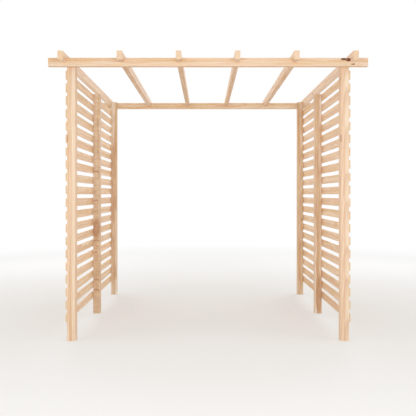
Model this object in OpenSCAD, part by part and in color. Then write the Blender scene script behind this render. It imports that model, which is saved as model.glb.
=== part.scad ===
// Open garden pergola in planed pine. Six square posts stand in two rows of three. A cross beam is
// fixed to the outer face of each pair of corner posts, a row of rafters is notched over both beams,
// and a screen of horizontal slats covers the outer face of each row of posts.
// The front faces -Y, +Z is up, and the origin lies on the ground at the middle of the plan.

/* [Frame] */
// Width over the posts, left to right
frame_w = 2400; // [1800:10:3600]
// Depth over the posts, front to back
frame_d = 2400; // [1800:10:3600]
// Height of the corner posts, level with the top of the beams
frame_h = 2400; // [2100:10:2800]
// Side of the square posts
post_side = 72; // [60:1:120]

/* [Roof] */
// Thickness of the beams, front to back
beam_t = 45; // [30:1:70]
// Height of the beams
beam_h = 72; // [60:1:140]
// Length of beam past the posts at each end
beam_overhang = 150; // [80:5:300]
// Number of rafters, the outer two against the posts
rafter_count = 6; // [3:1:12]
// Thickness of the rafters
rafter_t = 45; // [30:1:70]
// Height of the rafters
rafter_h = 72; // [60:1:140]
// Length of rafter past the posts, front and back
rafter_overhang = 150; // [100:5:300]
// Depth of the notch that seats a rafter on a beam
notch_depth = 36; // [15:1:45]
// Clearance on each side of a beam in its notch
notch_play = 0.5; // [0.2:0.1:2]

/* [Slatted sides] */
// Number of slats on each side
slat_count = 20; // [8:1:24]
// Thickness of the slats
slat_t = 12; // [10:1:22]
// Height of one slat
slat_h = 72; // [40:1:95]
// Ground to the lower edge of the bottom slat
slat_bottom = 160; // [60:5:400]
// Underside of the beams to the upper edge of the top slat
slat_drop = 26; // [5:1:200]

/* [Edges] */
// Radius of the planed edges of posts, beams and rafters
arris = 3; // [1:0.5:6]
// Radius of the planed edges of the slats
slat_arris = 2; // [1:0.5:4]

/* [Hidden] */
// Levels, measured up from the ground
beam_bottom = frame_h - beam_h;
rafter_bottom = frame_h - notch_depth;
slat_top = beam_bottom - slat_drop;
slat_pitch = (slat_top - slat_bottom - slat_h) / (slat_count - 1);

// Outer faces of the posts, and the length of the roof timbers
post_face_x = frame_w / 2;
post_face_y = frame_d / 2;
beam_length = frame_w + 2 * beam_overhang;
rafter_length = frame_d + 2 * rafter_overhang;
rafter_pitch = (frame_w + rafter_t) / (rafter_count - 1);

// Arcs stay round at any size, and cutters pass the faces that they cut by this much
$fn = 48;
cut_past = 1;

// Timber colours
post_colour = "#e8c9a4";
beam_colour = "#ebcda6";
rafter_colour = "#dfbc94";
slat_colour = "#e3c4a0";

// Sides, rows of posts, rows with a beam, and the slats in pairs from the bottom up
sides = ["left", "right"];
rows = ["front", "middle", "back"];
beam_rows = ["front", "back"];
slat_pairs = [for (first = [1 : 2 : slat_count]) [for (n = [first : min(first + 1, slat_count)]) n]];

function side_sign(side) = side == "left" ? -1 : 1;
function row_sign(row) = row == "front" ? -1 : row == "back" ? 1 : 0;
function post_name(row, side) = str(row, "_", side, "_post");
function beam_name(row) = str(row, "_beam");
function rafter_name(n) = str("rafter_", n);
function slats_name(side, pair) =
    len(pair) == 2 ? str(side, "_slats_", pair[0], "_", pair[1]) : str(side, "_slat_", pair[0]);

// Rounded rectangle centred on the origin: two crossing rectangles and a disc in each corner
module planed_section(width, height, radius) {
    square([width - 2 * radius, height], center = true);
    square([width, height - 2 * radius], center = true);
    for (x = [-1, 1], y = [-1, 1])
        translate([x * (width / 2 - radius), y * (height / 2 - radius)])
            circle(r = radius);
}

// Straight timber along X, Y or Z, centred on the origin, with its four long edges rounded
module timber_x(length, depth, height, radius) {
    rotate([90, 0, 90])
        linear_extrude(length, center = true)
            planed_section(depth, height, radius);
}

module timber_y(length, width, height, radius) {
    rotate([90, 0, 0])
        linear_extrude(length, center = true)
            planed_section(width, height, radius);
}

module timber_z(length, width, depth, radius) {
    linear_extrude(length)
        planed_section(width, depth, radius);
}

// Corner posts reach the top of the beams, and middle posts end level with the top slat
module post(row, side) {
    reach = row == "middle" ? slat_top : frame_h;
    x = side_sign(side) * (post_face_x - post_side / 2);
    y = row_sign(row) * (post_face_y - post_side / 2);
    color(post_colour)
        translate([x, y, 0])
            timber_z(reach, post_side, post_side, arris);
}

// A beam lies against the outer faces of its two posts, flush with their tops
module beam(row) {
    color(beam_colour)
        translate([0, row_sign(row) * (post_face_y + beam_t / 2), beam_bottom + beam_h / 2])
            timber_x(beam_length, beam_t, beam_h, arris);
}

// Slot cut up into the underside of a rafter where it crosses a beam
module beam_notch(row) {
    slot = beam_t + 2 * notch_play;
    translate([
        -rafter_t / 2 - cut_past,
        row_sign(row) * (post_face_y + beam_t / 2) - slot / 2,
        rafter_bottom - cut_past
    ])
        cube([rafter_t + 2 * cut_past, slot, notch_depth + cut_past]);
}

// Rafters run front to back at even spacing, notched down over both beams. The inner faces of the
// first and last ones lie on the outer faces of the posts.
module rafter(n) {
    color(rafter_colour)
        translate([(n - 1) * rafter_pitch - (frame_w + rafter_t) / 2, 0, 0])
            difference() {
                translate([0, 0, rafter_bottom + rafter_h / 2])
                    timber_y(rafter_length, rafter_t, rafter_h, arris);
                for (row = beam_rows)
                    beam_notch(row);
            }
}

// Slats lie on the outer faces of the posts, from the front face of the frame to the back face
module slats(side, pair) {
    color(slat_colour)
        for (n = pair)
            translate([
                side_sign(side) * (post_face_x + slat_t / 2),
                0,
                slat_bottom + (n - 1) * slat_pitch + slat_h / 2
            ])
                timber_y(frame_d, slat_t, slat_h, slat_arris);
}

for (side = sides, row = rows)
    post(row, side);
for (row = beam_rows)
    beam(row);
for (n = [1 : rafter_count])
    rafter(n);
for (side = sides, pair = slat_pairs)
    slats(side, pair);
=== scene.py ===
import math
import bmesh
import bpy
from mathutils import Matrix, Vector


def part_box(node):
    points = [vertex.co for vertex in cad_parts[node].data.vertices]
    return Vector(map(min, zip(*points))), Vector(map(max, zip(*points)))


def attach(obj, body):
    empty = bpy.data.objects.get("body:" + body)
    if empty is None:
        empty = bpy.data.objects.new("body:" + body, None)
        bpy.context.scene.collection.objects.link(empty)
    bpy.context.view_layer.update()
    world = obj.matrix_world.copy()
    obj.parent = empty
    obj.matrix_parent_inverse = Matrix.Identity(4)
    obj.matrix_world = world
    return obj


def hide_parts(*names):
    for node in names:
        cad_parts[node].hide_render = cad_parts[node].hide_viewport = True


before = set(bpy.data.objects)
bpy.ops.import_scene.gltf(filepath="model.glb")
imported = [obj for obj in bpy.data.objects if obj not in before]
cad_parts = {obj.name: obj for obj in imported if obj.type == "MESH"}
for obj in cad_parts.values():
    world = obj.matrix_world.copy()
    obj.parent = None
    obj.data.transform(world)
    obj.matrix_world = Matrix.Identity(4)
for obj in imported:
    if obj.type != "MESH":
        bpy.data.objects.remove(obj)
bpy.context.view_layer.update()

boxes = {node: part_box(node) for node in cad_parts}
scene = bpy.context.scene
mm = 0.001


def linearColour(hexText):
    # sRGB hex to the linear values that shader sockets take
    parts = [int(hexText[i:i + 2], 16) / 255 for i in (1, 3, 5)]
    return tuple(c / 12.92 if c <= 0.04045 else ((c + 0.055) / 1.055) ** 2.4 for c in parts) + (1.0,)


def addNode(tree, kind, feeds=(), **settings):
    # feeds is a list in socket order or a dictionary by socket name; a node in it is read at its first output
    node = tree.nodes.new(kind)
    for key, value in settings.items():
        setattr(node, key, value)
    live = [s for s in node.inputs if s.enabled]
    pairs = feeds.items() if isinstance(feeds, dict) else enumerate(feeds)
    for key, value in pairs:
        socket = live[key] if isinstance(key, int) else next(s for s in live if s.name == key)
        if isinstance(value, bpy.types.Node):
            value = next(s for s in value.outputs if s.enabled)
        if isinstance(value, bpy.types.NodeSocket):
            tree.links.new(value, socket)
        else:
            socket.default_value = value
    return node


def startMaterial(name):
    material = bpy.data.materials.new(name)
    material.use_nodes = True
    material.node_tree.nodes.clear()
    return material, material.node_tree


# camera, fitted to the edges of the posts, beams and slats in the photo
view = {
    "focalPx": 586.1,               # focal length in pixels of the 416 frame
    "framePx": 416.0,
    "centrePx": (205.08, 194.61),   # where the line of sight meets the picture
    "place": (-0.025, -6.186, 1.246),
    "sensor": 36.0,
}
cameraData = bpy.data.cameras.new("photoCamera")
cameraData.sensor_width = view["sensor"]
cameraData.lens = view["focalPx"] / view["framePx"] * view["sensor"]
cameraData.shift_x = 0.5 - view["centrePx"][0] / view["framePx"]
cameraData.shift_y = view["centrePx"][1] / view["framePx"] - 0.5
camera = bpy.data.objects.new("photoCamera", cameraData)
camera.location = view["place"]
camera.rotation_euler = (math.radians(90), 0, 0)    # level, looking along +Y
scene.collection.objects.link(camera)
scene.camera = camera
print("camera set")


# planed pine: pale sapwood with narrow honey latewood, drawn as rings round a pith, so that faces show long
# lines and arches and ends show arcs; from afar the eye sees broad pink and yellow streaks along the grain
pineLook = {
    # colours, from the pale wood up to the knots, and how far each covers what lies under it
    "early": "#fbe3ca",
    "pink": "#e8b793",
    "pinkDepth": 0.80,
    "pinkFrom": (0.42, 0.60),           # noise at which it starts and is full
    "honey": "#e6c089",
    "honeyDepth": 0.70,
    "honeyFrom": (0.44, 0.62),
    "blotch": "#d0a077",
    "blotchDepth": 0.15,
    "blotchFrom": (0.44, 0.66),
    "sap": "#fdead4",
    "sapDepth": 0.60,
    "late": "#c98f5c",
    "lateDepth": 0.42,
    "figure": "#b07a52",
    "figureDepth": 0.0,                 # bowed ripples across the grain, on a timber that has them
    "figureFrom": (0.36, 0.70),
    "endTint": "#e2bc92",
    "endTintDepth": 0.7,
    "endShare": 0.2,                    # streaks and knots that are left on sawn ends
    "knotCore": "#b07a4c",
    "knotRim": "#7d4f30",
    "knotDepth": 0.9,
    "tint": (1.0, 1.0, 1.0),            # linear red, green and blue of the wood against the colours above
    "tone": (0.96, 1.03),               # lightness from board to board

    # rings
    "logSpread": 40.0,                  # metres of log that boards are cut from
    "pithAcrossMm": (-100.0, 100.0),    # pith from the middle of a board
    "pithDeepMm": (30.0, 150.0),
    "slantMm": 20.0,                    # most that the rings drift in one metre of board
    "wanderMm": 26.0,                   # how far the pith strays along a board
    "warpMm": 5.0,                      # small waves in the rings
    "ringMm": 6.0,                      # width of one year's growth
    "ringJitter": 1.1,                  # how much years differ, in rings
    "jitterRun": 0.37,                  # changes of width in one ring
    "lateBand": (0.30, 0.86, 0.98),     # where in a year the latewood starts, is full and ends

    # noise cells in one metre across the grain and along it
    "wanderCells": (0.4, 0.9),
    "warpCells": (7.0, 1.6),
    "bendCells": (5.0, 3.0),
    "blotchCells": (9.0, 3.2),
    "raggedCells": (160.0, 70.0),
    "fibreCells": (420.0, 6.0),         # 2.4 mm wide, coarser than real fibres so that they show

    # streaks, ripples, and the paler sapwood of one corner, which on the outer rafters is painted light along
    # their lower face
    "streakMm": 24.0,                   # width of the broad colour streaks
    "streakRun": 0.45,                  # streaks along one metre of board
    "bendMm": 22.0,                     # how far the streaks bend to and fro
    "figureMm": 20.0,                   # from one ripple to the next
    "figureWide": 14.0,                 # ripples side by side in one metre
    "figureBend": 0.8,
    "figureBow": 0.0,                   # rise at a ripple's ends, for the square of their distance
    "sapFrom": None,                    # millimetres across and deep at which the sapwood starts; on the outer rafters, the painted light of their lower face
    "sapWander": 30.0,                  # millimetres by which its border strays
    "sapSoft": 8.0,
    "paleSapAndPaintedLightSkin": 12.0,                    # millimetres over which it fades into the board

    # knots, with their edges in knot radii
    "knotMm": 9.0,                      # half width of a common knot
    "knotCell": 0.08,                   # the same in cells of the knot pattern
    "knotRadii": 11.0,                  # radii in one cell
    "knotRun": 0.38,                    # cells along for each one across, which draws knots out
    "knotShare": 0.16,                  # share of the cells that hold a knot
    "knotNone": 20.0,                   # radii added in the other cells
    "knotRagged": 0.5,
    "knotEdge": (1.38, 1.14),           # where a knot starts and is full
    "rimEdge": (0.55, 1.05),
    "swellEdge": (4.2, 0.6),            # where the rings start to swell round it and swell most
    "knotRings": 6.0,
    "knotLineFrom": 0.1,                # part of a ring's wave that shows as a line
    "knotLines": 0.5,                   # darkness of the lines against the rim

    # surface
    "ior": 1.5,
    "roughEarly": 0.62,
    "roughLate": 0.48,
    "reliefMm": 0.25,                   # planed grain is nearly flat, drawn deeper so that it catches light
    "reliefStrength": 0.35,
    "fibreRelief": 0.6,
}


def readBoard(tree, look):
    # where a point lies in its board, and the place in a log that the board is cut from
    grain = addNode(tree, "ShaderNodeAttribute", attribute_name="grain").outputs["Vector"]
    endGrain = addNode(tree, "ShaderNodeAttribute", attribute_name="endGrain").outputs["Fac"]
    seed = addNode(tree, "ShaderNodeAttribute", attribute_name="boardSeed").outputs["Fac"]
    draw = addNode(tree, "ShaderNodeTexWhiteNoise", [seed], noise_dimensions="1D").outputs["Color"]
    place = addNode(tree, "ShaderNodeVectorMath", [draw, (look["logSpread"],) * 3], operation="MULTIPLY")
    cut = addNode(tree, "ShaderNodeVectorMath", [grain, place], operation="ADD")
    board = {"grain": grain, "endGrain": endGrain, "cut": cut}
    board["across"], board["deep"], board["along"] = addNode(tree, "ShaderNodeSeparateXYZ", [grain]).outputs
    board["chances"] = addNode(tree, "ShaderNodeSeparateColor", [draw]).outputs
    board["longGrain"] = addNode(tree, "ShaderNodeMapRange",
                                 {"Value": endGrain, "To Min": 1.0, "To Max": look["endShare"]})

    # ripples and listed marks bow with the square of the distance from the middle line
    square = addNode(tree, "ShaderNodeMath", [board["across"], board["across"]], operation="MULTIPLY")
    rise = addNode(tree, "ShaderNodeMath", [square, look["figureBow"]], operation="MULTIPLY")
    bow = addNode(tree, "ShaderNodeCombineXYZ", {"Z": rise})
    board["bowed"] = addNode(tree, "ShaderNodeVectorMath", [grain, bow], operation="ADD")
    board["bowedCut"] = addNode(tree, "ShaderNodeVectorMath", [cut, bow], operation="ADD")

    # noise drawn out along the grain, and two kinds of it as shifts across the board
    for part, detail in (("wander", 1.0), ("warp", 2.0), ("bend", 1.0), ("blotch", 2.0), ("ragged", 2.0)):
        wide, long = look[part + "Cells"]
        space = addNode(tree, "ShaderNodeVectorMath", [cut, (wide, wide, long)], operation="MULTIPLY")
        board[part] = addNode(tree, "ShaderNodeTexNoise", {"Vector": space, "Scale": 1.0, "Detail": detail})
    for part in ("wander", "bend"):
        most = 2 * look[part + "Mm"] * mm
        centred = addNode(tree, "ShaderNodeVectorMath", [board[part].outputs["Color"], (0.5, 0.5, 0.5)],
                          operation="SUBTRACT")
        board[part + "Shift"] = addNode(tree, "ShaderNodeVectorMath", [centred, (most, most, 0.0)],
                                        operation="MULTIPLY")
    return board


def drawKnots(tree, look, board, marks):
    # sparse ovals drawn out along the grain, and the marks that are listed, all measured in knot radii
    wide = look["knotCell"] / (look["knotMm"] * mm)
    space = addNode(tree, "ShaderNodeVectorMath", [board["cut"], (wide, wide, wide * look["knotRun"])],
                    operation="MULTIPLY")
    cells = addNode(tree, "ShaderNodeTexVoronoi", {"Vector": space, "Scale": 1.0}).outputs
    chance = addNode(tree, "ShaderNodeSeparateColor", [cells["Color"]])
    clear = addNode(tree, "ShaderNodeMath", [chance, look["knotShare"]], operation="GREATER_THAN")
    radii = addNode(tree, "ShaderNodeMath", [cells["Distance"], look["knotRadii"]], operation="MULTIPLY")
    nearest = addNode(tree, "ShaderNodeMath", [clear, look["knotNone"], radii], operation="MULTIPLY_ADD")
    for centre, halves in marks:
        stretch = [1 / half if half else 0.0 for half in halves]    # a half size of 0 goes right through
        offset = addNode(tree, "ShaderNodeVectorMath", [board["bowed"], centre], operation="SUBTRACT")
        scaled = addNode(tree, "ShaderNodeVectorMath", [offset, stretch], operation="MULTIPLY")
        far = addNode(tree, "ShaderNodeVectorMath", [scaled], operation="LENGTH").outputs["Value"]
        nearest = addNode(tree, "ShaderNodeMath", [nearest, far], operation="MINIMUM")
    outline = addNode(tree, "ShaderNodeMath", [board["ragged"], look["knotRagged"], nearest],
                      operation="MULTIPLY_ADD")
    edges = {}
    for part, distance, depth in (("knot", outline, look["knotDepth"]), ("rim", outline, 1.0),
                                  ("swell", nearest, 1.0)):
        starts, full = look[part + "Edge"]
        edges[part] = addNode(tree, "ShaderNodeMapRange",
                              {"Value": distance, "From Min": starts, "From Max": full, "To Max": depth},
                              interpolation_type="SMOOTHSTEP")
    turns = look["knotRings"] * 2 * math.pi
    years = addNode(tree, "ShaderNodeMath", [outline, turns], operation="MULTIPLY")
    wave = addNode(tree, "ShaderNodeMath", [years], operation="SINE")
    lines = addNode(tree, "ShaderNodeMapRange",
                    {"Value": wave, "From Min": look["knotLineFrom"], "To Max": look["knotLines"]})
    darkest = addNode(tree, "ShaderNodeMath", [edges["rim"], lines], operation="MAXIMUM")
    core = addNode(tree, "ShaderNodeMath", [edges["knot"], board["longGrain"]], operation="MULTIPLY")
    rim = addNode(tree, "ShaderNodeMath", [core, darkest], operation="MULTIPLY")
    return core, rim, edges["swell"]


def drawRings(tree, look, board, swell):
    # distance from a pith that strays along the board, swollen round knots, cut into years; 1 is latewood
    acrossChance, deepChance, slantChance = board["chances"]
    leftMost, rightMost = look["pithAcrossMm"]
    shallow, deepest = look["pithDeepMm"]
    pithX = addNode(tree, "ShaderNodeMapRange",
                    {"Value": acrossChance, "To Min": leftMost * mm, "To Max": rightMost * mm})
    pithY = addNode(tree, "ShaderNodeMapRange",
                    {"Value": deepChance, "To Min": shallow * mm, "To Max": deepest * mm})
    slant = addNode(tree, "ShaderNodeMapRange",
                    {"Value": slantChance, "To Min": -look["slantMm"] * mm, "To Max": look["slantMm"] * mm})
    pith = addNode(tree, "ShaderNodeCombineXYZ", [pithX, pithY, board["along"]])
    fromPith = addNode(tree, "ShaderNodeVectorMath", [board["grain"], pith], operation="SUBTRACT")
    strayed = addNode(tree, "ShaderNodeVectorMath", [fromPith, board["wanderShift"]], operation="ADD")
    radius = addNode(tree, "ShaderNodeVectorMath", [strayed], operation="LENGTH").outputs["Value"]
    warped = addNode(tree, "ShaderNodeMath", [board["warp"], look["warpMm"] * mm, radius],
                     operation="MULTIPLY_ADD")
    bulged = addNode(tree, "ShaderNodeMath", [swell, look["knotMm"] * mm, warped], operation="MULTIPLY_ADD")
    tapered = addNode(tree, "ShaderNodeMath", [board["along"], slant, bulged], operation="MULTIPLY_ADD")
    years = addNode(tree, "ShaderNodeMath", [tapered, 1 / (look["ringMm"] * mm)], operation="MULTIPLY")
    uneven = addNode(tree, "ShaderNodeTexNoise", {"W": years, "Scale": look["jitterRun"], "Detail": 1.0},
                     noise_dimensions="1D")
    age = addNode(tree, "ShaderNodeMath", [uneven, look["ringJitter"], years], operation="MULTIPLY_ADD")
    season = addNode(tree, "ShaderNodeMath", [age], operation="FRACT")
    latewood = addNode(tree, "ShaderNodeValToRGB", [season])
    starts, full, ends = look["lateBand"]
    stops = latewood.color_ramp.elements
    stops[0].position = starts
    stops[0].color = (0.0, 0.0, 0.0, 1.0)
    stops[1].position = full
    stops[1].color = (1.0, 1.0, 1.0, 1.0)
    stops.new(ends).color = (0.0, 0.0, 0.0, 1.0)
    return latewood


def drawStreaks(tree, look, board):
    # broad streaks along the grain, each of the noise's channels one of them, slow blotches and fine fibres
    bent = addNode(tree, "ShaderNodeVectorMath", [board["cut"], board["bendShift"]], operation="ADD")
    wide = 1 / (look["streakMm"] * mm)
    noises = {}
    for part, cells in (("streak", (wide, look["streakRun"])), ("fibre", look["fibreCells"])):
        space = addNode(tree, "ShaderNodeVectorMath", [bent, (cells[0],) + cells], operation="MULTIPLY")
        noises[part] = addNode(tree, "ShaderNodeTexNoise", {"Vector": space, "Scale": 1.0, "Detail": 2.0})
    streaks = noises["streak"].outputs["Color"]
    pinkNoise, honeyNoise, paleSapAndPaintedLightNoise = addNode(tree, "ShaderNodeSeparateColor", [streaks]).outputs
    shares = {}
    for part, noise in (("pink", pinkNoise), ("honey", honeyNoise), ("blotch", board["blotch"])):
        lowest, highest = look[part + "From"]
        depth = addNode(tree, "ShaderNodeMapRange", {"Value": noise, "From Min": lowest, "From Max": highest,
                                                     "To Max": look[part + "Depth"]})
        shares[part] = addNode(tree, "ShaderNodeMath", [depth, board["longGrain"]], operation="MULTIPLY")
    return shares, paleSapAndPaintedLightNoise, noises["fibre"]


def drawFigure(tree, look, board):
    # ripples that run across the grain
    wide = look["figureWide"]
    space = addNode(tree, "ShaderNodeVectorMath",
                    [board["bowedCut"], (wide, wide, 1 / (look["figureMm"] * mm))], operation="MULTIPLY")
    ripple = addNode(tree, "ShaderNodeTexNoise",
                     {"Vector": space, "Scale": 1.0, "Detail": 3.0, "Distortion": look["figureBend"]})
    lowest, highest = look["figureFrom"]
    return addNode(tree, "ShaderNodeMapRange", {"Value": ripple, "From Min": lowest, "From Max": highest,
                                                "To Max": look["figureDepth"]})


def drawPaleSapAndPaintedLight(tree, look, board, paleSapAndPaintedLightNoise):
    # paler sapwood past a border that strays across the board, near its face at -Y; on the outer rafters this
    # paler colour is painted light on their lower face
    acrossFrom, deepFrom = look["sapFrom"]
    border = addNode(tree, "ShaderNodeMath", [paleSapAndPaintedLightNoise, look["sapWander"] * mm, board["across"]],
                     operation="MULTIPLY_ADD")
    edge = (acrossFrom + look["sapWander"] / 2) * mm
    soft = look["sapSoft"] / 2 * mm
    paleEdge = addNode(tree, "ShaderNodeMapRange", {"Value": border, "From Min": edge - soft,
                                                    "From Max": edge + soft, "To Max": look["sapDepth"]})
    paleSkin = addNode(tree, "ShaderNodeMapRange", {"Value": board["deep"], "From Min": deepFrom * mm,
                                                    "From Max": (deepFrom - look["paleSapAndPaintedLightSkin"]) * mm})
    return addNode(tree, "ShaderNodeMath", [paleEdge, paleSkin], operation="MULTIPLY")


def makePine(name, marks=(), **changes):
    # marks are single knots and streaks, each a centre and half sizes in metres in the board's own frame
    look = {**pineLook, **changes}
    pine, tree = startMaterial(name)
    board = readBoard(tree, look)
    shares, paleSapAndPaintedLightNoise, fibre = drawStreaks(tree, look, board)
    shares["knotCore"], shares["knotRim"], swell = drawKnots(tree, look, board, marks)
    latewood = drawRings(tree, look, board, swell)
    if look["figureDepth"]:
        shares["figure"] = drawFigure(tree, look, board)
    if look["sapFrom"]:
        shares["sap"] = drawPaleSapAndPaintedLight(tree, look, board, paleSapAndPaintedLightNoise)
    for part, share in (("late", latewood), ("endTint", board["endGrain"])):
        shares[part] = addNode(tree, "ShaderNodeMath", [share, look[part + "Depth"]], operation="MULTIPLY")

    # colours lie over each other in this order, and knots keep their own
    colour = None
    for part in ("early", "pink", "honey", "blotch", "sap", "late", "figure", "endTint",
                 "knotCore", "knotRim"):
        tint = (1.0,) * 3 if part.startswith("knot") else look["tint"]
        shade = [c * t for c, t in zip(linearColour(look[part]), tint + (1.0,))]
        if colour is None:
            colour = shade
        elif part in shares:
            colour = addNode(tree, "ShaderNodeMix", {"Factor": shares[part], "A": colour, "B": shade},
                             data_type="RGBA")
    darker, lighter = look["tone"]
    lightness = addNode(tree, "ShaderNodeMapRange",
                        {"Value": board["chances"]["Green"], "To Min": darker, "To Max": lighter})
    toned = addNode(tree, "ShaderNodeHueSaturation", {"Value": lightness, "Color": colour})
    rough = addNode(tree, "ShaderNodeMapRange",
                    {"Value": latewood, "To Min": look["roughEarly"], "To Max": look["roughLate"]})
    relief = addNode(tree, "ShaderNodeMath", [fibre, look["fibreRelief"], latewood], operation="MULTIPLY_ADD")
    bump = addNode(tree, "ShaderNodeBump", {"Strength": look["reliefStrength"],
                                            "Distance": look["reliefMm"] * mm, "Height": relief})
    shader = addNode(tree, "ShaderNodeBsdfPrincipled",
                     {"Base Color": toned, "Roughness": rough, "IOR": look["ior"], "Normal": bump})
    addNode(tree, "ShaderNodeOutputMaterial", [shader])
    return pine


# marks that show on single timbers, in millimetres: across from the middle line (downwards, on the beam),
# along in the shared frame, half width, half length
beamKnots = [(-24.0, 1144.0, 9.0, 24.0), (-19.0, 1183.0, 13.0, 25.0), (18.0, 1222.0, 5.0, 17.0)]
pitchStreaks = [(-33.0, 1724.0, 5.0, 34.0)]         # by the arris of a front post
darkFootPatches = [(2.0, 180.0, 24.0, 190.0)]            # a darker red patch low on a post, from its foot up
crossMarks = [
    (-4.0, 1490.0, 30.0, 9.0),
    (-10.0, 1186.0, 26.0, 7.0),
    (-8.0, 1074.0, 22.0, 5.0),
    (-2.0, 892.0, 34.0, 85.0),                      # a long red patch
    (0.0, 764.0, 32.0, 7.0),
    (14.0, 706.0, 20.0, 5.0),
    (-12.0, 644.0, 22.0, 6.0),
    (2.0, 360.0, 30.0, 6.0),
    (0.0, 252.0, 28.0, 7.0),
]


def marksOn(node, marks, halfDeep=0.0):
    # into the board's own frame, where X is across, Y is front to back and Z is along
    low, high = boxes[node]
    size, middle = high - low, (low + high) / 2
    longest = max(range(3), key=lambda axis: size[axis])
    placed = []
    for across, along, halfWidth, halfLength in marks:
        centre = (across * mm, -size.y / 2, along * mm - middle[longest])
        placed.append((centre, (halfWidth * mm, halfDeep * mm, halfLength * mm)))
    return placed


# what several timbers share
deadKnot = {"knotShare": 0.0, "knotCore": "#7d451f", "knotRim": "#5a2c10", "knotDepth": 0.97}
pitch = {"knotShare": 0.0, "knotCore": "#a06e4a", "knotRim": "#b07e58", "knotDepth": 0.75}
redMark = {"knotCore": "#b9744c", "knotRim": "#b07a50", "knotDepth": 0.42, "knotEdge": (1.75, 0.85)}
faintRedMark = {**redMark, "knotDepth": 0.32}
# darker, redder wood for the posts that stand behind the front ones
darkerRedWood = {"pink": "#dba57b", "pinkDepth": 0.95, "late": "#b97f4e", "blotchDepth": 0.7}
straightGrain = {"wanderMm": 9.0, "warpMm": 2.5, "bendMm": 7.0}
pines = {
    "post": makePine("planedPineDarkerRedPost", tint=(1.03, 1.165, 1.285), **darkerRedWood),
    "frontPost": makePine("planedPineFrontPost", marksOn("front_left_post", pitchStreaks, halfDeep=8.0),
                          tint=(0.926, 0.931, 0.919), pinkDepth=0.70, honeyDepth=0.40, sapFrom=(3.0, -28.0),
                          sapDepth=0.75, sapWander=14.0, **straightGrain, **pitch),
    "knottyPost": makePine("planedPineKnottyPost", marksOn("middle_left_post", crossMarks),
                           tint=(1.03, 1.18, 1.285), blotchDepth=0.4, figureDepth=0.52, figureBow=9.0,
                           **redMark),
    "redFootPost": makePine("planedPineRedFootPost", marksOn("middle_right_post", darkFootPatches),
                            tint=(1.015, 1.135, 1.28), **darkerRedWood, **faintRedMark),
    "beam": makePine("planedPineBackBeam", tint=(1.03, 1.095, 1.10)),
    "frontBeam": makePine("planedPineFrontBeam", marksOn("front_beam", beamKnots), tint=(0.93, 0.94, 0.925),
                          streakMm=15.0, streakRun=1.1, sapFrom=(2.0, -8.0), sapDepth=0.45, sapWander=80.0,
                          sapSoft=16.0, **deadKnot),
    "rafter": makePine("planedPineRafter", tint=(1.03, 1.09, 1.19)),
    # outer rafters: a paler colour laid on their lower face is painted light, so that their undersides look
    # as bright as their sides
    "outerRafter": makePine("planedPineOuterRafter", tint=(1.03, 1.055, 1.09), lateDepth=0.20, sap="#fbdfc2",
                            sapFrom=(-60.0, -24.0), sapDepth=0.95, knotShare=0.05),
    "slat": makePine("planedPineSlat", tint=(1.005, 1.035, 1.02)),
}
print("pine materials made:", len(pines))


# a timber, or a stack of like timbers: rounded section swept along Z, notched if asked, turned and placed
timberSizes = {
    "arris": 3.0 * mm,
    "slatArris": 2.0 * mm,
    "arrisSteps": 4,
    "slatHeight": 72.0 * mm,
    "slatsInNode": 2,
    "notchDepth": 36.0 * mm,
    "notchPlay": 0.5 * mm,
    "sawnEdge": 0.8 * mm,               # arris left by the saw at the ends
    "sawnAngle": math.radians(60),
    "sawnSteps": 2,
    "sawnFacing": 0.7,                  # faces that point along the timber by more than this are sawn ends
    "ownPine": {
        "front_left_post": "frontPost",
        "front_right_post": "frontPost",
        "middle_left_post": "knottyPost",
        "middle_right_post": "redFootPost",
        "front_beam": "frontBeam",
        "rafter_1": "outerRafter",
        "rafter_6": "outerRafter",
    },
    "ownBoard": {"front_left_post": 17, "front_right_post": 39, "middle_left_post": 45},   # picked for figure
}


def startTree(name, inputs, output):
    # inputs gives the kind of each named socket
    tree = bpy.data.node_groups.new(name, "GeometryNodeTree")
    for socket, kind in inputs.items():
        tree.interface.new_socket(name=socket, in_out="INPUT", socket_type="NodeSocket" + kind)
    tree.interface.new_socket(name=output, in_out="OUTPUT", socket_type="NodeSocketGeometry")
    return tree, addNode(tree, "NodeGroupInput").outputs


def sweepSection(tree, size):
    section = addNode(tree, "GeometryNodeCurvePrimitiveQuadrilateral",
                      {"Width": size["Width"], "Height": size["Depth"]})
    rounded = addNode(tree, "GeometryNodeFilletCurve",
                      {"Curve": section, "Count": size["Arris Steps"], "Radius": size["Arris"]}, mode="POLY")
    half = addNode(tree, "ShaderNodeMath", [size["Length"], 0.5], operation="MULTIPLY")
    low = addNode(tree, "ShaderNodeMath", [half, -1.0], operation="MULTIPLY")
    foot = addNode(tree, "ShaderNodeCombineXYZ", {"Z": low})
    head = addNode(tree, "ShaderNodeCombineXYZ", {"Z": half})
    axis = addNode(tree, "GeometryNodeCurvePrimitiveLine", {"Start": foot, "End": head})
    return addNode(tree, "GeometryNodeCurveToMesh",
                   {"Curve": axis, "Profile Curve": rounded, "Fill Caps": True})


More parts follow.
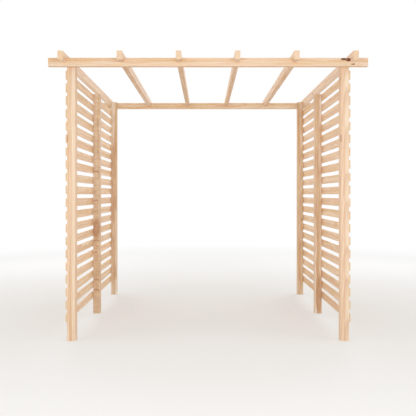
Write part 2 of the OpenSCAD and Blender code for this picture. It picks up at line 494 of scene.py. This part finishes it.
def cutNotches(tree, size, swept):
    # two notches in the face at -Y, one near each end, where a notch depth is given
    slotWide = addNode(tree, "ShaderNodeMath", [size["Width"], 2.0], operation="MULTIPLY")
    slotTall = addNode(tree, "ShaderNodeMath", [size["Notch Depth"], 2.0], operation="MULTIPLY")
    slotSize = addNode(tree, "ShaderNodeCombineXYZ", [slotWide, slotTall, size["Notch Width"]])
    slot = addNode(tree, "GeometryNodeMeshCube", {"Size": slotSize})
    under = addNode(tree, "ShaderNodeMath", [size["Depth"], -0.5], operation="MULTIPLY")
    back = addNode(tree, "ShaderNodeMath", [size["Notch Reach"], -1.0], operation="MULTIPLY")
    span = addNode(tree, "ShaderNodeMath", [size["Notch Reach"], 2.0], operation="MULTIPLY")
    firstSlot = addNode(tree, "ShaderNodeCombineXYZ", {"Y": under, "Z": back})
    slotStep = addNode(tree, "ShaderNodeCombineXYZ", {"Z": span})
    slotPoints = addNode(tree, "GeometryNodeMeshLine",
                         {"Count": 2, "Start Location": firstSlot, "Offset": slotStep})
    slots = addNode(tree, "GeometryNodeInstanceOnPoints", {"Points": slotPoints, "Instance": slot})
    cutters = addNode(tree, "GeometryNodeRealizeInstances", {"Geometry": slots})
    notched = addNode(tree, "GeometryNodeMeshBoolean", {"Mesh 1": swept, "Mesh 2": cutters},
                      operation="DIFFERENCE", solver="EXACT")
    isNotched = addNode(tree, "FunctionNodeCompare", [size["Notch Depth"], 0.0],
                        data_type="FLOAT", operation="GREATER_THAN")
    return addNode(tree, "GeometryNodeSwitch", {"Switch": isNotched, "False": swept, "True": notched},
                   input_type="GEOMETRY")


def makeTimberTree():
    tree, size = startTree("planedTimber", {
        "Length": "Float", "Width": "Float", "Depth": "Float", "Arris": "Float", "Arris Steps": "Int",
        "Notch Depth": "Float", "Notch Width": "Float", "Notch Reach": "Float",
        "Count": "Int", "Pitch": "Float", "Place": "Vector", "Turn": "Vector",
        "Seed": "Int", "Pine": "Material",
    }, "Timber")
    timber = cutNotches(tree, size, sweepSection(tree, size))

    # what the pine material reads: place in the board, sawn ends, and the board's own number
    position = addNode(tree, "GeometryNodeInputPosition")
    grained = addNode(tree, "GeometryNodeStoreNamedAttribute",
                      {"Geometry": timber, "Name": "grain", "Value": position},
                      data_type="FLOAT_VECTOR", domain="POINT")
    normal = addNode(tree, "GeometryNodeInputNormal").outputs["Normal"]
    facing = addNode(tree, "ShaderNodeSeparateXYZ", [normal]).outputs["Z"]
    steep = addNode(tree, "ShaderNodeMath", [facing], operation="ABSOLUTE")
    sawn = addNode(tree, "ShaderNodeMath", [steep, timberSizes["sawnFacing"]], operation="GREATER_THAN")
    ended = addNode(tree, "GeometryNodeStoreNamedAttribute",
                    {"Geometry": grained, "Name": "endGrain", "Value": sawn},
                    data_type="FLOAT", domain="FACE")
    step = addNode(tree, "ShaderNodeCombineXYZ", {"Z": size["Pitch"]})
    points = addNode(tree, "GeometryNodeMeshLine",
                     {"Count": size["Count"], "Start Location": size["Place"], "Offset": step})
    turn = addNode(tree, "FunctionNodeEulerToRotation", [size["Turn"]])
    stack = addNode(tree, "GeometryNodeInstanceOnPoints",
                    {"Points": points, "Instance": ended, "Rotation": turn})
    number = addNode(tree, "FunctionNodeRandomValue", {"Seed": size["Seed"]}, data_type="FLOAT")
    numbered = addNode(tree, "GeometryNodeStoreNamedAttribute",
                       {"Geometry": stack, "Name": "boardSeed", "Value": number},
                       data_type="FLOAT", domain="INSTANCE")
    solid = addNode(tree, "GeometryNodeRealizeInstances", {"Geometry": numbered})
    finished = addNode(tree, "GeometryNodeSetMaterial", {"Geometry": solid, "Material": size["Pine"]})
    addNode(tree, "NodeGroupOutput", [finished])
    return tree


def runTree(name, tree, inputs, mesh=None, finish=()):
    # evaluates a tree on a new object and keeps the result as a plain mesh
    piece = bpy.data.objects.new(name, mesh or bpy.data.meshes.new(name))
    scene.collection.objects.link(piece)
    modifier = piece.modifiers.new("shape", "NODES")
    modifier.node_group = tree
    for item in tree.interface.items_tree:
        if item.in_out == "INPUT" and item.name in inputs:
            modifier[item.identifier] = inputs[item.name]
    for kind, settings in finish:
        extra = piece.modifiers.new(kind.lower(), kind)
        for key, value in settings.items():
            setattr(extra, key, value)
    graph = bpy.context.evaluated_depsgraph_get()
    shaped = piece.evaluated_get(graph)
    made = bpy.data.meshes.new_from_object(shaped, preserve_all_data_layers=True, depsgraph=graph)
    if made.materials[0] is None:
        made.materials.pop(index=0)     # realizing leaves an empty slot in front of the one that is set
    piece.modifiers.clear()
    piece.data = made
    made.name = name
    return piece


timberTree = makeTimberTree()
easedEnds = [
    ("BEVEL", {"width": timberSizes["sawnEdge"], "segments": timberSizes["sawnSteps"],
               "limit_method": "ANGLE", "angle_limit": timberSizes["sawnAngle"]}),
    ("WEIGHTED_NORMAL", {"keep_sharp": True, "weight": 100}),
]
alongX = (0.0, math.radians(90), 0.0)
alongY = (math.radians(90), 0.0, 0.0)
slatHeight = timberSizes["slatHeight"]
beamLow, beamHigh = boxes["front_beam"]
beamThick = beamHigh.y - beamLow.y
beamReach = -(beamLow.y + beamHigh.y) / 2       # from the middle of the plan to the middle of a beam
for number, (node, (low, high)) in enumerate(sorted(boxes.items())):
    size, middle = high - low, (low + high) / 2
    inputs = {"Arris": timberSizes["arris"], "Arris Steps": timberSizes["arrisSteps"], "Count": 1,
              "Place": middle, "Seed": timberSizes["ownBoard"].get(node, number)}
    if node.endswith("_post"):
        slot, pine = "posts", "post"
        inputs.update({"Length": size.z, "Width": size.x, "Depth": size.y})
    elif node.endswith("_beam"):
        slot, pine = "beams", "beam"
        inputs.update({"Length": size.x, "Width": size.z, "Depth": size.y, "Turn": alongX})
    elif node.startswith("rafter_"):
        slot, pine = "rafters", "rafter"
        inputs.update({"Length": size.y, "Width": size.x, "Depth": size.z, "Turn": alongY,
                       "Notch Depth": timberSizes["notchDepth"],
                       "Notch Width": beamThick + 2 * timberSizes["notchPlay"],
                       "Notch Reach": beamReach})
    else:
        slot, pine = "slats", "slat"
        lowest = Vector((middle.x, middle.y, low.z + slatHeight / 2))
        inputs.update({"Length": size.y, "Width": size.x, "Depth": slatHeight, "Turn": alongY,
                       "Arris": timberSizes["slatArris"], "Count": timberSizes["slatsInNode"],
                       "Pitch": size.z - slatHeight, "Place": lowest})
    inputs["Pine"] = pines[timberSizes["ownPine"].get(node, pine)]
    timber = runTree(node + "_timber", timberTree, inputs, finish=easedEnds)
    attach(timber, "root")
    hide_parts(node)
print("timbers made:", len(boxes))


# screws: yellow-passivated steel, so a soft golden gleam and a dark cross where the driver goes in
screwSizes = {
    "head": 8.0 * mm,                   # width of a countersunk head
    "proud": 0.5 * mm,                  # how far the rim stands out of the wood
    "sunk": 0.8 * mm,
    "slatSpread": 22.0 * mm,            # from the middle of a slat to each of its two screws
    "beamSpread": 20.0 * mm,
    "seed": 7,
    # shape of a head, in head radii
    "neck": 0.8,                        # lower end of the cone
    "flat": 0.9,                        # top inside the bevelled rim
    "rimRise": 0.6,                     # height of the widest point, as a share of what stands proud
    "crossReach": 0.50,
    "crossHalf": 0.13,
    "crossDeep": 0.35,
    "crossTaper": 0.85,                 # width of the recess at its bottom, as a share of that at the top
}
steelLook = {"dark": "#b59a68", "light": "#d2bd90", "patchMm": 6.0, "rough": (0.28, 0.46)}


def makeScrewHead():
    # one closed head of unit radius, in rings of as many points as the cross recess has corners
    radius = screwSizes["head"] / 2
    low, top = -screwSizes["sunk"] / radius, screwSizes["proud"] / radius
    reachOut, half = screwSizes["crossReach"], screwSizes["crossHalf"]
    arm = [Vector((reachOut, -half)), Vector((reachOut, half)), Vector((half, half))]
    cross = [Matrix.Rotation(math.radians(90 * turn), 2) @ corner for turn in range(4) for corner in arm]
    count = len(cross)
    angles = [math.tau * (i - 0.5) / count for i in range(count)]
    circle = [Vector((math.cos(angle), math.sin(angle))) for angle in angles]
    rings = [
        (circle, screwSizes["neck"], low),
        (circle, 1.0, top * screwSizes["rimRise"]),
        (circle, screwSizes["flat"], top),
        (cross, 1.0, top),
        (cross, screwSizes["crossTaper"], top - screwSizes["crossDeep"]),
    ]
    head = bmesh.new()
    loops = [[head.verts.new((p.x * wide, p.y * wide, z)) for p in ring] for ring, wide, z in rings]
    for outer, inner in zip(loops, loops[1:]):
        for i in range(count):
            j = (i + 1) % count
            head.faces.new([outer[i], outer[j], inner[j], inner[i]])
    head.faces.new(loops[-1])
    head.faces.new(reversed(loops[0]))
    mesh = bpy.data.meshes.new("screwHead")
    head.to_mesh(mesh)
    head.free()
    return bpy.data.objects.new("screwHead", mesh)


def makeScrewTree():
    tree, size = startTree("screwRows", {
        "Points": "Geometry", "Head": "Object", "Radius": "Float", "Seed": "Int", "Steel": "Material",
    }, "Screws")
    head = addNode(tree, "GeometryNodeObjectInfo", {"Object": size["Head"]}).outputs["Geometry"]
    facing = addNode(tree, "GeometryNodeInputNamedAttribute", {"Name": "facing"}, data_type="FLOAT_VECTOR")
    outward = addNode(tree, "FunctionNodeAlignRotationToVector", {"Vector": facing}, axis="Z")
    angle = addNode(tree, "FunctionNodeRandomValue", {"Max": math.radians(90), "Seed": size["Seed"]},
                    data_type="FLOAT")
    spin = addNode(tree, "FunctionNodeAxisAngleToRotation", {"Angle": angle})
    turned = addNode(tree, "FunctionNodeRotateRotation", {"Rotation": outward, "Rotate By": spin},
                     rotation_space="LOCAL")
    screws = addNode(tree, "GeometryNodeInstanceOnPoints", {"Points": size["Points"], "Instance": head,
                                                            "Rotation": turned, "Scale": size["Radius"]})
    solid = addNode(tree, "GeometryNodeRealizeInstances", {"Geometry": screws})
    finished = addNode(tree, "GeometryNodeSetMaterial", {"Geometry": solid, "Material": size["Steel"]})
    addNode(tree, "NodeGroupOutput", [finished])
    return tree


def makeSteel():
    steel, tree = startMaterial("yellowZincSteel")
    spot = addNode(tree, "ShaderNodeTexCoord").outputs["Object"]
    scale = 1 / (steelLook["patchMm"] * mm)
    patches = addNode(tree, "ShaderNodeTexNoise", {"Vector": spot, "Scale": scale, "Detail": 2.0})
    dark, light = linearColour(steelLook["dark"]), linearColour(steelLook["light"])
    gold = addNode(tree, "ShaderNodeMix", {"Factor": patches, "A": dark, "B": light}, data_type="RGBA")
    smooth, dull = steelLook["rough"]
    rough = addNode(tree, "ShaderNodeMapRange", {"Value": patches, "To Min": smooth, "To Max": dull})
    shader = addNode(tree, "ShaderNodeBsdfPrincipled",
                     {"Base Color": gold, "Metallic": 1.0, "Roughness": rough})
    addNode(tree, "ShaderNodeOutputMaterial", [shader])
    return steel


# two screws to each crossing of slat and post and of beam and corner post, one to each of rafter and beam
screwPoints = []
for node, (low, high) in sorted(boxes.items()):
    middle = (low + high) / 2
    if "_slats_" in node:
        outer = Vector((math.copysign(1.0, middle.x), 0.0, 0.0))
        faceX = high.x if middle.x > 0 else low.x
        for row in ("front", "middle", "back"):
            postLow, postHigh = boxes[row + "_left_post"]
            postY = (postLow.y + postHigh.y) / 2
            for slatZ in (low.z + slatHeight / 2, high.z - slatHeight / 2):
                for up in (-1, 1):
                    place = Vector((faceX, postY, slatZ + up * screwSizes["slatSpread"]))
                    screwPoints.append((place, outer))
    elif node.endswith("_beam"):
        outer = Vector((0.0, math.copysign(1.0, middle.y), 0.0))
        faceY = high.y if middle.y > 0 else low.y
        for side in ("left", "right"):
            postLow, postHigh = boxes["front_" + side + "_post"]
            postX = (postLow.x + postHigh.x) / 2
            for up in (-1, 1):
                place = Vector((postX, faceY, middle.z + up * screwSizes["beamSpread"]))
                screwPoints.append((place, outer))
    elif node.startswith("rafter_"):
        for end in (-1, 1):
            place = Vector((middle.x, end * beamReach, high.z))
            screwPoints.append((place, Vector((0.0, 0.0, 1.0))))
pointMesh = bpy.data.meshes.new("screwPoints")
pointMesh.from_pydata([place for place, _ in screwPoints], [], [])
outwards = pointMesh.attributes.new("facing", "FLOAT_VECTOR", "POINT")
outwards.data.foreach_set("vector", [c for _, outer in screwPoints for c in outer])
screwHead = makeScrewHead()
inputs = {"Head": screwHead, "Radius": screwSizes["head"] / 2, "Seed": screwSizes["seed"],
          "Steel": makeSteel()}
screws = runTree("screw_heads", makeScrewTree(), inputs, mesh=pointMesh)
bpy.data.objects.remove(screwHead)
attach(screws, "root")
print("screws set:", len(screwPoints))


# floor and light: plain pale floor that fades to the white background, soft light from the front and behind
studio = {
    "floorHalf": 30.0,
    "floorColour": "#e4e1dc",
    "floorRough": 0.9,
    "floorLift": 0.35,                  # share of white that the floor shows near the object
    "fadeFrom": 1.5,                    # metres from the middle at which it starts to whiten, and is white
    "fadeTo": 9.0,
    "ambient": 0.6,
    "lamps": {                          # those with two sides mirror each other
        "keyLamp": {"sides": (1,), "power": 68.0, "size": (4.4, 1.8),
                    "place": (0.0, -4.8, 1.8), "aim": (0.0, -1.2, 1.3)},
        "rearLamp": {"sides": (-1, 1), "power": 82.0, "size": (3.0, 2.5),
                     "place": (3.6, 5.0, 2.8), "aim": (-1.2, -0.2, 1.2)},
        "highLamp": {"sides": (-1, 1), "power": 86.0, "size": (3.0, 3.0),
                     "place": (6.5, -3.0, 6.5), "aim": (-1.2, 0.0, 1.2)},
    },
}
white = (1.0, 1.0, 1.0, 1.0)


def seenRays(tree):
    # 1 for the rays of the camera, and for those that metal reflects or glass lets through
    rays = addNode(tree, "ShaderNodeLightPath").outputs
    mirrored = addNode(tree, "ShaderNodeMath", [rays["Is Camera Ray"], rays["Is Glossy Ray"]],
                       operation="MAXIMUM")
    return addNode(tree, "ShaderNodeMath", [mirrored, rays["Is Transmission Ray"]], operation="MAXIMUM")


def makeFloorPaint():
    paint, tree = startMaterial("paleFloor")
    spot = addNode(tree, "ShaderNodeTexCoord").outputs["Object"]
    away = addNode(tree, "ShaderNodeVectorMath", [spot], operation="LENGTH").outputs["Value"]
    fade = addNode(tree, "ShaderNodeMapRange",
                   {"Value": away, "From Min": studio["fadeFrom"], "From Max": studio["fadeTo"],
                    "To Min": studio["floorLift"]}, interpolation_type="SMOOTHSTEP")
    seenFar = addNode(tree, "ShaderNodeMath", [seenRays(tree), fade], operation="MULTIPLY")
    matt = addNode(tree, "ShaderNodeBsdfPrincipled", {"Base Color": linearColour(studio["floorColour"]),
                                                      "Roughness": studio["floorRough"]})
    glow = addNode(tree, "ShaderNodeEmission", {"Color": white, "Strength": 1.0})
    mixed = addNode(tree, "ShaderNodeMixShader", [seenFar, matt, glow])
    addNode(tree, "ShaderNodeOutputMaterial", [mixed])
    return paint


reach = studio["floorHalf"]
corners = [(-reach, -reach, 0), (reach, -reach, 0), (reach, reach, 0), (-reach, reach, 0)]
floorMesh = bpy.data.meshes.new("floor")
floorMesh.from_pydata(corners, [], [(0, 1, 2, 3)])
floorMesh.materials.append(makeFloorPaint())
floor = bpy.data.objects.new("floor", floorMesh)
scene.collection.objects.link(floor)

world = bpy.data.worlds.new("whiteStudio")
world.use_nodes = True
world.node_tree.nodes.clear()
soft = addNode(world.node_tree, "ShaderNodeBackground", {"Color": white, "Strength": studio["ambient"]})
plain = addNode(world.node_tree, "ShaderNodeBackground", {"Color": white, "Strength": 1.0})
sky = addNode(world.node_tree, "ShaderNodeMixShader", [seenRays(world.node_tree), soft, plain])
addNode(world.node_tree, "ShaderNodeOutputWorld", [sky])
scene.world = world

for name, lamp in studio["lamps"].items():
    for side in lamp["sides"]:
        mirror = Vector((side, 1, 1))
        place, aim = Vector(lamp["place"]) * mirror, Vector(lamp["aim"]) * mirror
        lampData = bpy.data.lights.new(name, "AREA")
        lampData.shape = "RECTANGLE"
        lampData.size, lampData.size_y = lamp["size"]
        lampData.energy = lamp["power"]
        fitting = bpy.data.objects.new(name, lampData)
        fitting.location = place
        fitting.rotation_euler = (aim - place).to_track_quat("-Z", "Y").to_euler()
        fitting.visible_camera = False
        scene.collection.objects.link(fitting)
scene.view_settings.view_transform = "Standard"
print("studio set")
